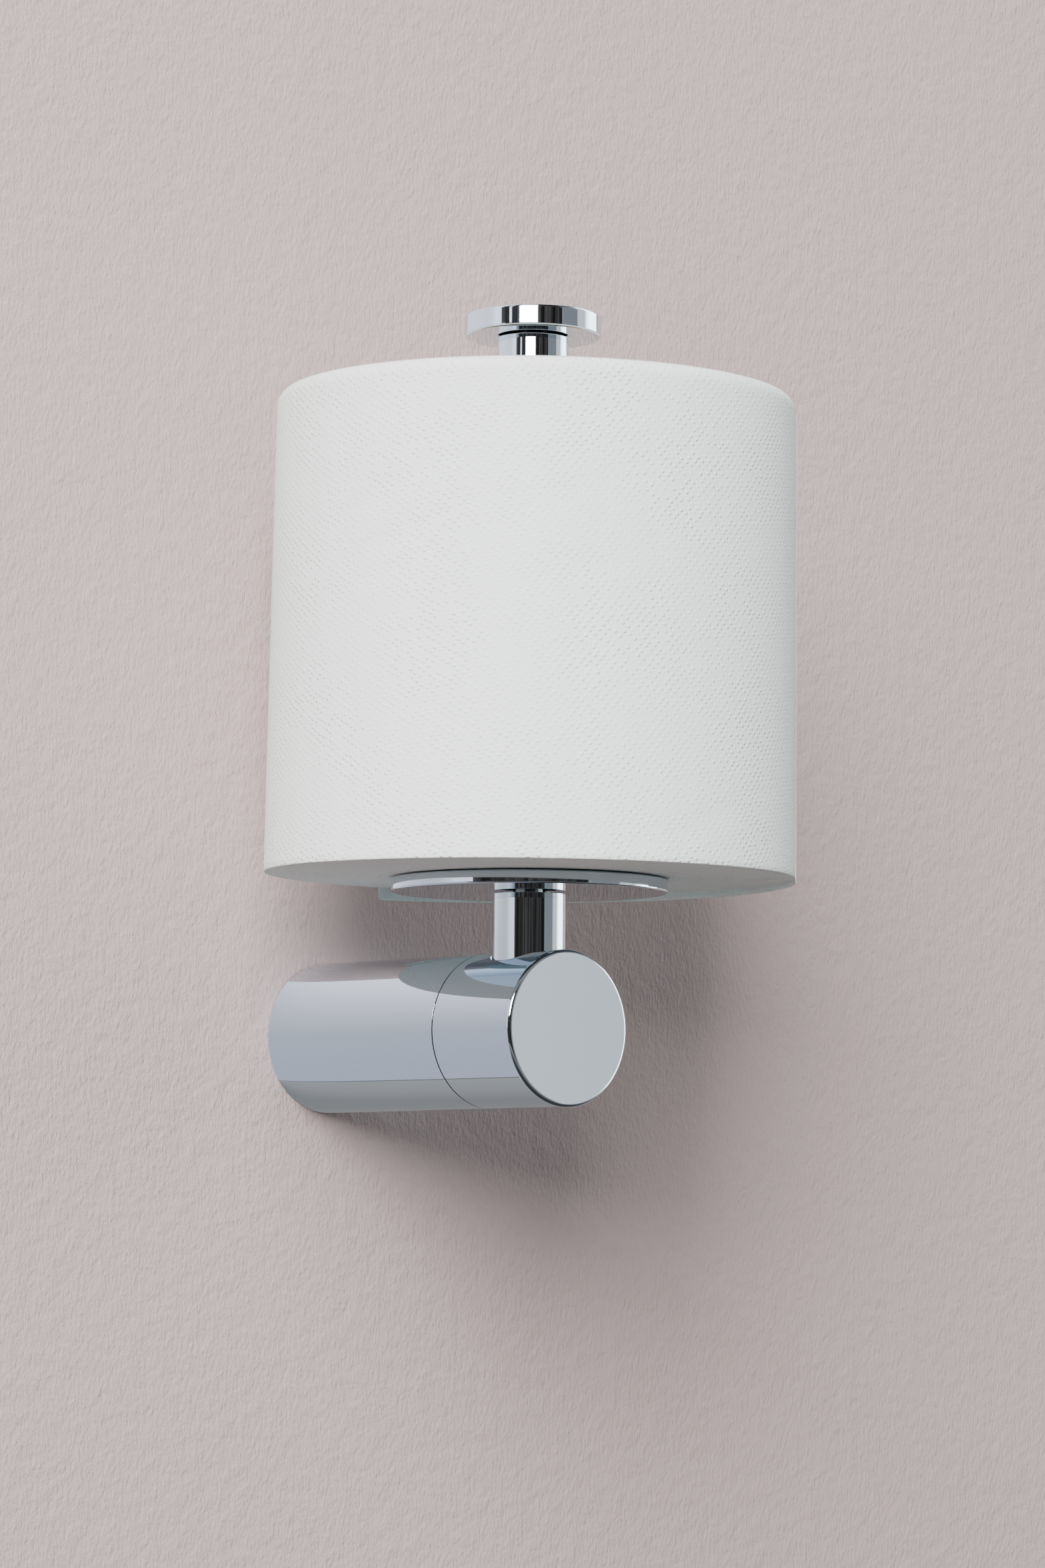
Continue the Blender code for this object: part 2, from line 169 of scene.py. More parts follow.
class StudioSettings(bpy.types.PropertyGroup):
    wall_colour: FloatVectorProperty(
        name="Wall colour", description="Colour of the plaster", subtype="COLOR",
        default=(0.475, 0.372, 0.369), min=0.0, max=1.0)
    floor_colour: FloatVectorProperty(
        name="Floor colour", description="Colour of the floor", subtype="COLOR",
        default=(0.62, 0.60, 0.59), min=0.0, max=1.0)
    key_azimuth: FloatProperty(
        name="Key azimuth", description="Direction of the softbox round the holder",
        subtype="ANGLE", default=math.radians(-48.5))
    key_elevation: FloatProperty(
        name="Key elevation", description="Height of the softbox above the horizon",
        subtype="ANGLE", default=math.radians(28.0))
    key_power: FloatProperty(
        name="Key power", description="Power of the softbox", unit="POWER",
        default=239.0, min=0.0, max=2000.0)
    fill_power: FloatProperty(
        name="Fill power", description="Power of the weak light on the right", unit="POWER",
        default=16.0, min=0.0, max=1000.0)
    sky: FloatProperty(
        name="Sky", description="Soft light from above", default=0.17, min=0.0, max=10.0)
    ground: FloatProperty(
        name="Ground", description="Soft light from below", default=0.21, min=0.0, max=10.0)


# ---------------- shader maths

class Value:
    """One output of a node, wrapped so that sums on it add Math nodes."""

    def __init__(self, finish, socket):
        self.finish = finish
        self.socket = socket

    def maths(self, operation, *values):
        sockets = dict(enumerate(values))
        return self.finish.node("ShaderNodeMath", {"operation": operation}, sockets)

    def __add__(self, other):
        return self.maths("ADD", self, other)

    def __radd__(self, other):
        return self.maths("ADD", other, self)

    def __sub__(self, other):
        return self.maths("SUBTRACT", self, other)

    def __rsub__(self, other):
        return self.maths("SUBTRACT", other, self)

    def __mul__(self, other):
        return self.maths("MULTIPLY", self, other)

    def __rmul__(self, other):
        return self.maths("MULTIPLY", other, self)

    def __truediv__(self, other):
        return self.maths("DIVIDE", self, other)

    def fract(self):
        return self.maths("FRACT", self)

    def root(self):
        return self.maths("SQRT", self)

    def distance_to(self, other):
        return self.maths("ABSOLUTE", self - other)


class Nodes:
    """A node tree under construction."""

    def __init__(self, tree):
        self.tree = tree

    def feed(self, socket, value):
        """Links a wrapped output to a socket, or sets the socket's own value."""
        if isinstance(value, Value):
            self.tree.links.new(value.socket, socket)
        elif socket.type == "RGBA" and len(value) == 3:
            socket.default_value = (*value, 1.0)
        else:
            socket.default_value = value

    def node(self, kind, settings=None, sockets=None, output=0):
        """Adds a node: its settings first, then its sockets, and returns one output."""
        node = self.tree.nodes.new(kind)
        for name, setting in (settings or {}).items():
            if name == "stops":
                self.set_stops(node.color_ramp, setting)
            else:
                setattr(node, name, setting)
        for key, value in (sockets or {}).items():
            self.feed(node.inputs[key], value)
        return Value(self, node.outputs[output])

    @staticmethod
    def set_stops(ramp, stops):
        """Fills a ramp with (position, colour) stops."""
        while len(ramp.elements) > 1:
            ramp.elements.remove(ramp.elements[-1])
        for index, (position, colour) in enumerate(stops):
            element = ramp.elements[0] if index == 0 else ramp.elements.new(position)
            element.position = position
            element.color = (*colour, 1.0)

    def object_place(self, centre=(0, 0, 0), stretch=(1, 1, 1)):
        """Object coordinates about a centre, stretched along the axes."""
        place = self.node("ShaderNodeTexCoord", output="Object")
        moved = self.node("ShaderNodeVectorMath", {"operation": "SUBTRACT"}, {0: place, 1: centre})
        return self.node("ShaderNodeVectorMath", {"operation": "MULTIPLY"}, {0: moved, 1: stretch})

    def parts(self, vector):
        """The x, y and z of a vector."""
        kind = "ShaderNodeSeparateXYZ"
        return [self.node(kind, sockets={0: vector}, output=axis) for axis in range(3)]

    def vector(self, x, y, z=0.0):
        return self.node("ShaderNodeCombineXYZ", sockets={0: x, 1: y, 2: z})

    def noise(self, place, scale, detail=2.0, roughness=0.5):
        """Grey noise from 0 to 1, with scale in features for each metre."""
        sockets = {"Vector": place, "Scale": scale, "Detail": detail, "Roughness": roughness}
        return self.node("ShaderNodeTexNoise", {}, sockets)

    def step(self, value, low, high, to_low=0.0, to_high=1.0):
        """A smooth change from to_low to to_high as value goes from low to high."""
        settings = {"interpolation_type": "SMOOTHSTEP", "clamp": True}
        sockets = {0: value, 1: low, 2: high, 3: to_low, 4: to_high}
        return self.node("ShaderNodeMapRange", settings, sockets)

    def mix(self, factor, first, second):
        """A colour between two colours."""
        settings = {"data_type": "RGBA", "clamp_factor": True}
        return self.node("ShaderNodeMix", settings, {0: factor, 6: first, 7: second}, output=2)

    def ramp(self, factor, stops):
        return self.node("ShaderNodeValToRGB", {"stops": stops}, {0: factor})


class Finish(Nodes):
    """A material under construction."""

    def __init__(self, name, **constants):
        self.material = bpy.data.materials.new(name)
        self.material.use_nodes = True
        super().__init__(self.material.node_tree)
        self.shader = self.tree.nodes["Principled BSDF"]
        for socket, value in constants.items():
            self.shader.inputs[socket.replace("_", " ").title()].default_value = value

    def bump(self, height, distance, strength=1.0):
        """Feeds a height in metres times distance into the shader's normal."""
        sockets = {"Height": height, "Distance": distance, "Strength": strength}
        self.set("Normal", self.node("ShaderNodeBump", {}, sockets))

    def set(self, name, value):
        self.feed(self.shader.inputs[name], value)

    def show(self, surface):
        """Shows a surface other than the plain shader."""
        self.feed(self.tree.nodes["Material Output"].inputs["Surface"], surface)


# ---------------- finishes

def polished_chrome(settings):
    """Bright plating with a breath of haze and hairline wipe marks."""
    finish = Finish("polished_chrome", metallic=1.0)
    finish.set("Base Color", tuple(settings.tint))
    place = finish.object_place()
    haze = finish.noise(place, 55.0, 3.0)
    wipes = finish.noise(finish.object_place(stretch=(1.0, 1.0, 9.0)), 420.0, 2.0)
    rough = settings.roughness + finish.step(haze, 0.45, 0.75) * 0.018
    finish.set("Roughness", rough + finish.step(wipes, 0.62, 0.8) * 0.02)
    finish.bump(finish.noise(place, 130.0, 1.0), 0.000003)
    return finish.material


def mottled(name, patches, colours, rough, grain, worn=None, along=1.0, across=1.0, **constants):
    """A finish that wanders between two colours and has a fine grain.

    Patches are (scale, detail), rough is (least, spread) and grain is (scale, detail, height).
    Worn gives the patch values between which one colour gives way to the other. Along and
    across stretch the patches and the grain along y.
    """
    finish = Finish(name, **constants)
    patch = finish.noise(finish.object_place(stretch=(1.0, along, 1.0)), *patches)
    shade = finish.step(patch, *worn) if worn else patch
    finish.set("Base Color", finish.mix(shade, *colours))
    finish.set("Roughness", rough[0] + patch * rough[1])
    scale, detail, height = grain
    place = finish.object_place(stretch=(1.0, across, 1.0))
    finish.bump(finish.noise(place, scale, detail), height)
    return finish.material


def cast_zinc():
    """Die-cast boss: matt, faintly mottled, with a granular skin."""
    return mottled("cast_zinc", (260.0, 4.0), ((0.46, 0.46, 0.45), (0.66, 0.66, 0.64)),
                   (0.34, 0.2), (2400.0, 3.0, 0.00006), metallic=1.0)


def plated_steel():
    """Passivated fixing steel with turned rings and a warm cast."""
    return mottled("plated_steel", (500.0, 3.0), ((0.50, 0.50, 0.47), (0.66, 0.65, 0.60)),
                   (0.22, 0.16), (1500.0, 2.0, 0.00003), across=8.0, metallic=1.0)


def black_oxide():
    """Oiled black steel of the bolt and the set screw, worn bare in places."""
    return mottled("black_oxide", (700.0, 4.0), ((0.05, 0.05, 0.055), (0.16, 0.155, 0.15)),
                   (0.34, 0.18), (3200.0, 2.0, 0.00003), worn=(0.5, 0.8), metallic=1.0)


def plug_plastic():
    """Moulded nylon of the wall plugs."""
    return mottled("plug_plastic", (700.0, 3.0), ((0.40, 0.42, 0.44), (0.50, 0.52, 0.54)),
                   (0.42, 0.15), (4200.0, 2.0, 0.00005), along=0.25, coat_weight=0.08)


def core_cardboard():
    """Spirally wound grey-brown board, with the joint of its outer strip."""
    finish = Finish("core_cardboard")
    place = finish.object_place(centre=POST_AXIS)
    x, y, z = finish.parts(place)
    turn = y.maths("ARCTAN2", y, x) / math.tau
    strip = 0.058
    across = (z / strip + turn).fract()
    joint = 1.0 - finish.step(across.distance_to(0.5), 0.0, 0.012)
    fibre = finish.noise(place, 900.0, 5.0, 0.65)
    fleck = finish.step(finish.noise(place, 2600.0, 2.0), 0.66, 0.74)
    board = finish.mix(fibre, (0.36, 0.29, 0.21), (0.56, 0.47, 0.36))
    board = finish.mix(fleck * 0.5, board, (0.20, 0.15, 0.10))
    finish.set("Base Color", finish.mix(joint * 0.7, board, (0.16, 0.12, 0.09)))
    finish.set("Roughness", 0.82 + fibre * 0.12)
    finish.bump(fibre * 0.6 - joint * 2.0, 0.00008)
    return finish.material


def embossed_height(finish, settings):
    """The raised dots on diagonals, the crepe and the fluff of the tissue, each from 0 to 1."""
    place = finish.node("ShaderNodeUVMap", {"uv_map": "wrap"})
    turned = finish.node("ShaderNodeMapping", {"vector_type": "POINT"},
                         {"Vector": place, "Rotation": (0.0, 0.0, math.radians(36.0)),
                          "Scale": (1.0, 1.18, 1.0)})
    cells = {"voronoi_dimensions": "2D", "feature": "F1"}
    sockets = {"Vector": turned, "Scale": 1.0 / settings.dot_pitch, "Randomness": 0.30}
    distance = finish.node("ShaderNodeTexVoronoi", cells, sockets, output="Distance")
    own = finish.node("ShaderNodeTexVoronoi", cells, sockets, output="Color")
    chance = finish.parts(own)[0]
    dot = finish.step(distance, 0.12, 0.34, 1.0, 0.0)
    patchy = finish.step(finish.noise(place, 55.0, 2.0), 0.35, 0.65, 0.45, 1.0)
    dots = dot * finish.step(chance, 0.05, 0.6, 0.25, 1.0) * patchy
    u, v, _ = finish.parts(place)
    crepe = finish.noise(finish.vector(u, v * 0.32), 2400.0, 3.0, 0.6)
    fluff = finish.noise(place, 5200.0, 2.0)
    return dots, crepe, fluff


def tissue_face(settings):
    """The outside of the tissue: soft, matt, embossed with fine dots."""
    finish = Finish("tissue_face", sheen_weight=0.08, sheen_roughness=0.6)
    dots, crepe, fluff = embossed_height(finish, settings)
    tone = crepe * 0.5 + fluff * 0.5
    pale = tuple(settings.colour)
    shaded = tuple(channel * 0.955 for channel in pale)
    # The paper is mixed between a pale copy and a painted-shade copy: crepe and fluff vary the
    # tone at random, and the raised dots are painted paler, a painted highlight on their tops.
    finish.set("Base Color", finish.mix(tone * 0.8 + dots * 0.5, shaded, pale))
    finish.set("Roughness", 0.88 + crepe * 0.08)
    finish.bump(dots + crepe * 0.42 + fluff * 0.2, settings.dot_height)
    return finish.material


def tissue_edges(settings):
    """The ends of the roll, where the edges of the wound layers show as a fine spiral of painted
    shade in the gaps between them.
    """
    finish = Finish("tissue_edges", sheen_weight=0.05, sheen_roughness=0.6)
    place = finish.object_place(centre=POST_AXIS)
    x, y, _ = finish.parts(place)
    radius = (x * x + y * y).root()
    turn = y.maths("ARCTAN2", y, x) / math.tau
    wander = finish.noise(place, 60.0, 2.0) * 0.9
    spiral = (radius / settings.layer_pitch - turn + wander).fract()
    groove = finish.step(spiral.distance_to(0.5), 0.10, 0.42)
    bands = finish.noise(finish.vector(radius, 0.0), 900.0, 3.0, 0.7)
    fluff = finish.noise(place, 2600.0, 3.0)
    pale = tuple(channel * 0.93 for channel in settings.colour)
    shade = tuple(channel * 0.70 for channel in settings.colour)
    # The gaps between the layers are painted dark, painted shade; the bands and the fluff vary the
    # tone at random.
    depth = groove * 0.35 + finish.step(bands, 0.35, 0.65) * 0.45 + fluff * 0.2
    finish.set("Base Color", finish.mix(depth, shade, pale))
    finish.set("Roughness", 0.9 + fluff * 0.08)
    finish.bump(groove * 0.6 + bands * 1.4 + fluff * 0.4, 0.00012)
    return finish.material


# ---------------- mesh tools

def corner_arc(before, corner, after, radius, steps):
    """Points of the arc that rounds one corner of an outline."""
    into, out = (before - corner).normalized(), (after - corner).normalized()
    half = into.angle(out) / 2
    centre = corner + (into + out).normalized() * (radius / math.sin(half))
    start = corner + into * (radius / math.tan(half)) - centre
    end = corner + out * (radius / math.tan(half)) - centre
    whole = start.angle(end)
    points = []
    for step in range(steps + 1):
        share = step / steps
        a = math.sin((1 - share) * whole) / math.sin(whole)
        b = math.sin(share * whole) / math.sin(whole)
        points.append(centre + start * a + end * b)
    return points


def rounded(corners, steps=6):
    """An outline of (radius, height) points from corners of (radius, height, rounding)."""
    places = [Vector(corner[:2]) for corner in corners]
    outline = []
    for index, (_, _, rounding) in enumerate(corners):
        if rounding == 0:
            outline.append(places[index])
            continue
        before, after = places[index - 1], places[(index + 1) % len(places)]
        outline += corner_arc(before, places[index], after, rounding, steps)
    return outline


def spin_outline(bm, outline, sides, closed):
    """Spins an outline of (radius, height) points once round +Z."""
    verts = [bm.verts.new((radius, 0.0, height)) for radius, height in outline]
    edges = [bm.edges.new(pair) for pair in zip(verts, verts[1:])]
    if closed:
        edges.append(bm.edges.new((verts[-1], verts[0])))
    bmesh.ops.spin(bm, geom=verts + edges, cent=(0, 0, 0), axis=(0, 0, 1), angle=math.tau,
                   steps=sides, use_merge=True, use_duplicate=False)
    bmesh.ops.remove_doubles(bm, verts=bm.verts, dist=1e-6)
    bmesh.ops.recalc_face_normals(bm, faces=bm.faces)


SHARP = 0.6     # radians between two faces, from which a drilled edge is rounded
TO_BAR = Matrix.Rotation(math.pi / 2, 4, "X")   # a piece's own +Z to -Y, out of the wall
TO_POST = Matrix.Translation(POST_AXIS)


def move(bm, place):
    """Moves everything in a bmesh."""
    bmesh.ops.transform(bm, matrix=place, verts=bm.verts)


def fill(mesh, bm, smooth_below=30.0):
    """Writes a finished bmesh to a mesh, smooth but for its sharp edges."""
    bm.to_mesh(mesh)
    bm.free()
    mesh.shade_smooth()
    mesh.set_sharp_from_angle(angle=math.radians(smooth_below))


def add_piece(name, bm, smooth_below=30.0):
    """Links a finished bmesh as an object at the origin."""
    mesh = bpy.data.meshes.new(name)
    fill(mesh, bm, smooth_below)
    piece = bpy.data.objects.new(name, mesh)
    bpy.context.scene.collection.objects.link(piece)
    return piece


def tube(outer, inner, low, high, edge, inner_edge=0):
    """The corners of a plain tube's or disc's section, for turned."""
    return [(outer, low, edge), (outer, high, edge), (inner, high, inner_edge),
            (inner, low, inner_edge)]


def turned(name, corners, place, closed=False, sides=CHROME_SIDES, steps=6):
    """A piece turned about its own +Z axis and then put in place."""
    bm = bmesh.new()
    spin_outline(bm, rounded(corners, steps), sides, closed)
    move(bm, place)
    return add_piece(name, bm)


def drilled(piece, radius, low, high, place, rim, rim_span):
    """Drills a round hole, and rounds its sharp edges within a span of heights."""
    bm = bmesh.new()
    spin_outline(bm, [(0.0, low), (radius, low), (radius, high), (0.0, high)], 96, False)
    move(bm, place)
    drill = add_piece("drill", bm)
    hole = piece.modifiers.new("hole", "BOOLEAN")
    hole.operation = "DIFFERENCE"
    hole.solver = "EXACT"
    hole.object = drill
    shown = piece.evaluated_get(bpy.context.evaluated_depsgraph_get())
    cut = bpy.data.meshes.new_from_object(shown)
    piece.modifiers.clear()
    piece.data = cut
    bpy.data.objects.remove(drill)
    bm = bmesh.new()
    bm.from_mesh(cut)
    from_place = place.inverted()
    edges = []
    for edge in bm.edges:
        middle = from_place @ ((edge.verts[0].co + edge.verts[1].co) / 2)
        at_hole = math.hypot(middle.x, middle.y) < radius * 1.1
        in_span = rim_span[0] < middle.z < rim_span[1]
        if at_hole and in_span and edge.calc_face_angle(0.0) > SHARP:
            edges.append(edge)
    bmesh.ops.bevel(bm, geom=edges, offset=rim, segments=3, profile=0.5, affect="EDGES",
                    material=-1, clamp_overlap=False)
    fill(cut, bm)


def true_normals(piece, point, axis):
    """Gives round walls their exact radial normals, and flat ends their exact flat ones."""
    axis = Vector(axis)
    mesh = piece.data
    normals = [Vector((0.0, 0.0, 0.0))] * len(mesh.loops)
    for face in mesh.polygons:
        along = abs(face.normal.dot(axis))
        middle = face.center - Vector(point)
        middle -= axis * middle.dot(axis)
        for index in face.loop_indices:
            if along > 0.9999:
                normals[index] = face.normal.copy()
            elif along < 0.002 and abs(middle.normalized().dot(face.normal)) > 0.998:
                out = mesh.vertices[mesh.loops[index].vertex_index].co - Vector(point)
                out -= axis * out.dot(axis)
                normals[index] = out.normalized() * (1 if middle.dot(face.normal) > 0 else -1)
    mesh.normals_split_custom_set(normals)


def put_on(piece, material, body, slot, *nodes):
    """Gives a piece its finish and the body it rides on, and hides the CAD nodes it stands for.
    The slot is not used.
    """
    piece.data.materials.append(material)
    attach(piece, body)
    if nodes:
        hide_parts(*nodes)


# ---------------- horizontal bar

class MakeBar(bpy.types.Operator):
    """Build the chromed sleeve and the solid head of the bar"""

    bl_idname = "roll_holder.make_bar"
    bl_label = "Bar"
    bl_options = {"REGISTER", "UNDO"}

    def execute(self, context):
        settings = context.scene.roll_holder_chrome
        chrome = polished_chrome(settings)
        self.sleeve(settings, chrome)
        self.head(settings, chrome)
        return {"FINISHED"}

    def sleeve(self, settings, chrome):
        """The tube against the wall, with its inner web and the set screw's hole."""
        corners = [
            (BAR_RADIUS, SLEEVE_BACK, settings.seam_edge),
            (BAR_RADIUS, SLEEVE_FRONT, settings.seam_edge),
            (BAR_BORE, SLEEVE_FRONT, 0),
            (BAR_BORE, WEB_FRONT, 0),
            (BOLT_HOLE, WEB_FRONT, 0),
            (BOLT_HOLE, WEB_BACK, 0),
            (BAR_BORE, WEB_BACK, 0),
            (BAR_BORE, SLEEVE_BACK, 0),
        ]
        sleeve = turned("chromed_sleeve", corners, TO_BAR, closed=True)
        place = Matrix.Translation((0.0, SET_SCREW_Y, 0.0))
        place @= Matrix.Rotation(SET_SCREW_TURN, 4, "Y")
        drilled(sleeve, SET_SCREW_HOLE, -BAR_RADIUS - 0.001, -0.010, place, SCREW_RIM,
                (-BAR_RADIUS - 0.001, -BAR_BORE - 0.0005))
        true_normals(sleeve, (0, 0, 0), (0, 1, 0))
        put_on(sleeve, chrome, "holder", "polished_chrome", "bar_sleeve")

    def head(self, settings, chrome):
        """The front of the bar: a spigot behind, and the socket of the post on top."""
        back = SLEEVE_FRONT + FIT
        corners = [
            (0.0, SPIGOT_END, 0),
            (SPIGOT_RADIUS, SPIGOT_END, settings.seam_edge),
            (SPIGOT_RADIUS, back - SEAM_GROOVE, 0),
            (SPIGOT_RADIUS - SEAM_GROOVE, back - SEAM_GROOVE, 0),
            (SPIGOT_RADIUS - SEAM_GROOVE, back, 0),
            (BAR_RADIUS, back, settings.seam_edge),
            (BAR_RADIUS, HEAD_FRONT, settings.head_edge),
            (0.0, HEAD_FRONT, 0),
        ]
        head = turned("chromed_head", corners, TO_BAR)
        drilled(head, POST_RADIUS + FIT, POST_SEAT - FIT, BAR_RADIUS + 0.002, TO_POST, SOCKET_RIM,
                (POST_SEAT + 0.004, BAR_RADIUS + 0.002))
        true_normals(head, (0, 0, 0), (0, 1, 0))
        put_on(head, chrome, "holder", "polished_chrome", "front_head")


# ---------------- upright post

class MakePost(bpy.types.Operator):
    """Build the post, the disc that the roll stands on and the finial"""

    bl_idname = "roll_holder.make_post"
    bl_label = "Post, disc and finial"
    bl_options = {"REGISTER", "UNDO"}

    def execute(self, context):
        settings = context.scene.roll_holder_chrome
        chrome = polished_chrome(settings)
        lengths = {"lower_post": (POST_SEAT, POST_TOP), "upper_post": (UPPER_LOW, UPPER_HIGH)}
        for node, (low, high) in lengths.items():
            corners = tube(POST_RADIUS, ROD_BORE, low, high, POST_EDGE)
            self.add("chromed_" + node, corners, True, chrome, node)
        corners = tube(DISC_RADIUS, ROD_BORE, DISC_LOW, DISC_HIGH, settings.edge)
        self.add("chromed_disc", corners, True, chrome, "support_disc")
        cap = radius_of("finial")
        rod_top = heights("tie_rod")[1] + FIT
        corners = [
            (0.0, FINIAL_HIGH, 0),
            (cap, FINIAL_HIGH, settings.finial_edge),
            (cap, FINIAL_LOW, settings.finial_edge),
            (BOLT_HOLE, FINIAL_LOW, 0),
            (BOLT_HOLE, rod_top, 0),
            (0.0, rod_top, 0),
        ]
        self.add("chromed_finial", corners, False, chrome, "finial")
        return {"FINISHED"}

    @staticmethod
    def add(name, corners, closed, chrome, node):
        piece = turned(name, corners, TO_POST, closed)
        true_normals(piece, POST_AXIS, (0, 0, 1))
        put_on(piece, chrome, "holder", "polished_chrome", node)


# ---------------- fixings

class MakeFixings(bpy.types.Operator):
    """Finish the bracket, screws, bolt, washer and rod, and mould the wall plugs"""

    bl_idname = "roll_holder.make_fixings"
    bl_label = "Fixings"
    bl_options = {"REGISTER", "UNDO"}

    def execute(self, context):
        zinc, steel, black = cast_zinc(), plated_steel(), black_oxide()
        finishes = {
            "wall_bracket": zinc,
            "wall_screw_left": steel,
            "wall_screw_right": steel,
            "head_bolt_washer": steel,
            "tie_rod": steel,
            "sleeve_set_screw": black,
            "head_bolt": black,
        }
        for node, material in finishes.items():
            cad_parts[node].material_slots[0].material = material
        plastic = plug_plastic()
        for side in ("left", "right"):
            self.plug(side, plastic)
        return {"FINISHED"}

    @staticmethod
    def plug(side, plastic):
        """A wall plug: a collar, ribs with a steep and a gentle flank, and a blind bore."""
        node = "wall_plug_" + side
        low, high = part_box(node)
        ribs, depth, bore = 9, 0.00045, 0.0023
        collar, nose, bore_end = 0.002, 0.0018, 0.0326
        mouth, end = low.y, high.y
        pitch = (end - mouth - 2 * collar) / ribs
        corners = [(bore, -mouth, 0), (PLUG_RADIUS, -mouth, 0.0002)]
        corners.append((PLUG_RADIUS, -mouth - collar, 0))
        for rib in range(ribs):
            top = -mouth - collar - pitch * rib
            corners.append((PLUG_RADIUS - depth, top - 0.0002, 0))
            corners.append((PLUG_RADIUS - 0.0001, top - pitch, 0))
        corners += [(nose, -end, 0.0003), (0, -end, 0), (0, -bore_end, 0), (bore, -bore_end, 0)]
        place = Matrix.Translation(((low.x + high.x) / 2, 0.0, 0.0)) @ TO_BAR
        piece = turned("ribbed_plug_" + side, corners, place, closed=True, sides=40, steps=3)
        put_on(piece, plastic, "holder", "plug_plastic", node)


# ---------------- cardboard core

class MakeCore(bpy.types.Operator):
    """Build the spirally wound tube inside the roll"""

    bl_idname = "roll_holder.make_core"
    bl_label = "Core"
    bl_options = {"REGISTER", "UNDO"}

    def execute(self, context):
        inner = CORE_RADIUS - CORE_WALL
        corners = tube(CORE_RADIUS, inner, CORE_LOW, CORE_HIGH, CORE_EDGE, CORE_EDGE)
        core = turned("wound_core", corners, TO_POST, closed=True, sides=128, steps=3)
        put_on(core, core_cardboard(), "roll_core", "core_cardboard", "cardboard_core")
        return {"FINISHED"}


# ---------------- paper roll

FACING = math.radians(-131.0)     # the side of the roll that is seen in the room
SWELL = 0.00011           # how uneven the outermost winding is
SLACK = 0.00005           # how far it has shrunk all round
LOW_RUFFLE = 0.00012      # how uneven the layers' edges are at the lower end
HIGH_SINK = 0.00026       # how far the layers' edges lie below the upper end
HIGH_RUFFLE = 0.0002


def paper_relief(angle, height):
    """How far the wound paper lies below its full radius: soft swells and slack creases."""
    along = (angle - FACING) * PAPER_RADIUS
    along = (along + math.pi * PAPER_RADIUS) % (math.tau * PAPER_RADIUS) - math.pi * PAPER_RADIUS
    swell = noise.noise(Vector((math.cos(angle) * 1.6, math.sin(angle) * 1.6, height * 22.0)))
    relief = SWELL * (0.5 + 0.5 * swell)
    for start, lift, slope, width, length, depth in CREASES:
        across = (height - lift) - slope * (along - start)
        reach = (along - start) / length
        relief += depth * math.exp(-(across / width) ** 2 - reach ** 2)
    return relief


# Slack creases: middle along the face and up, slope, half width, half length, depth
CREASES = (
    (-0.034, 0.1105, 0.30, 0.0028, 0.018, 0.00016),
    (-0.026, 0.1025, 0.34, 0.0024, 0.020, 0.00020),
    (-0.008, 0.1040, 0.36, 0.0030, 0.022, 0.00014),
    (-0.036, 0.0930, 0.22, 0.0026, 0.014, 0.00012),
    (0.012, 0.0950, 0.30, 0.0036, 0.018, 0.00010),
    (0.038, 0.0420, 0.35, 0.0030, 0.014, 0.00014),
)


def slipped(radius, angle, settings):
    """How far the windings outside the disc have slipped up, and down toward the front."""
    share = min(max((radius - DISC_RADIUS) / (PAPER_RADIUS - DISC_RADIUS), 0.0), 1.0)
    share *= share * (3.0 - 2.0 * share)
    front = math.cos(angle) * settings.slip[0] + math.sin(angle) * settings.slip[1]
    return share * (settings.slip_rise - front)


def shoulder_arc(shoulder, base, degrees, steps):
    """Points over the roll's rounded upper edge, from its face inward."""
    points = []
    for step in range(steps + 1):
        turn = math.radians(degrees * step / steps)
        out = PAPER_RADIUS - shoulder + shoulder * math.cos(turn)
        points.append((out, base + shoulder * math.sin(turn)))
    return points


def leaning(radius, angle, height, settings, share):
    """A point of the paper, moved sideways by a share of the roll's lean."""
    across = Vector((settings.lean[0], settings.lean[1])) * share
    return Vector((radius * math.cos(angle) + across.x, radius * math.sin(angle) + across.y,
                   height))


def wrap_map(mesh, radius):
    """A UV map in metres: distance round the roll, and height."""
    layer = mesh.uv_layers.new(name="wrap")
    for face in mesh.polygons:
        middle = face.center - POST_AXIS
        facing = math.atan2(middle.y, middle.x)
        for index in face.loop_indices:
            place = mesh.vertices[mesh.loops[index].vertex_index].co - POST_AXIS
            angle = math.atan2(place.y, place.x)
            angle += math.tau * round((facing - angle) / math.tau)
            layer.data[index].uv = (angle * radius, place.z)


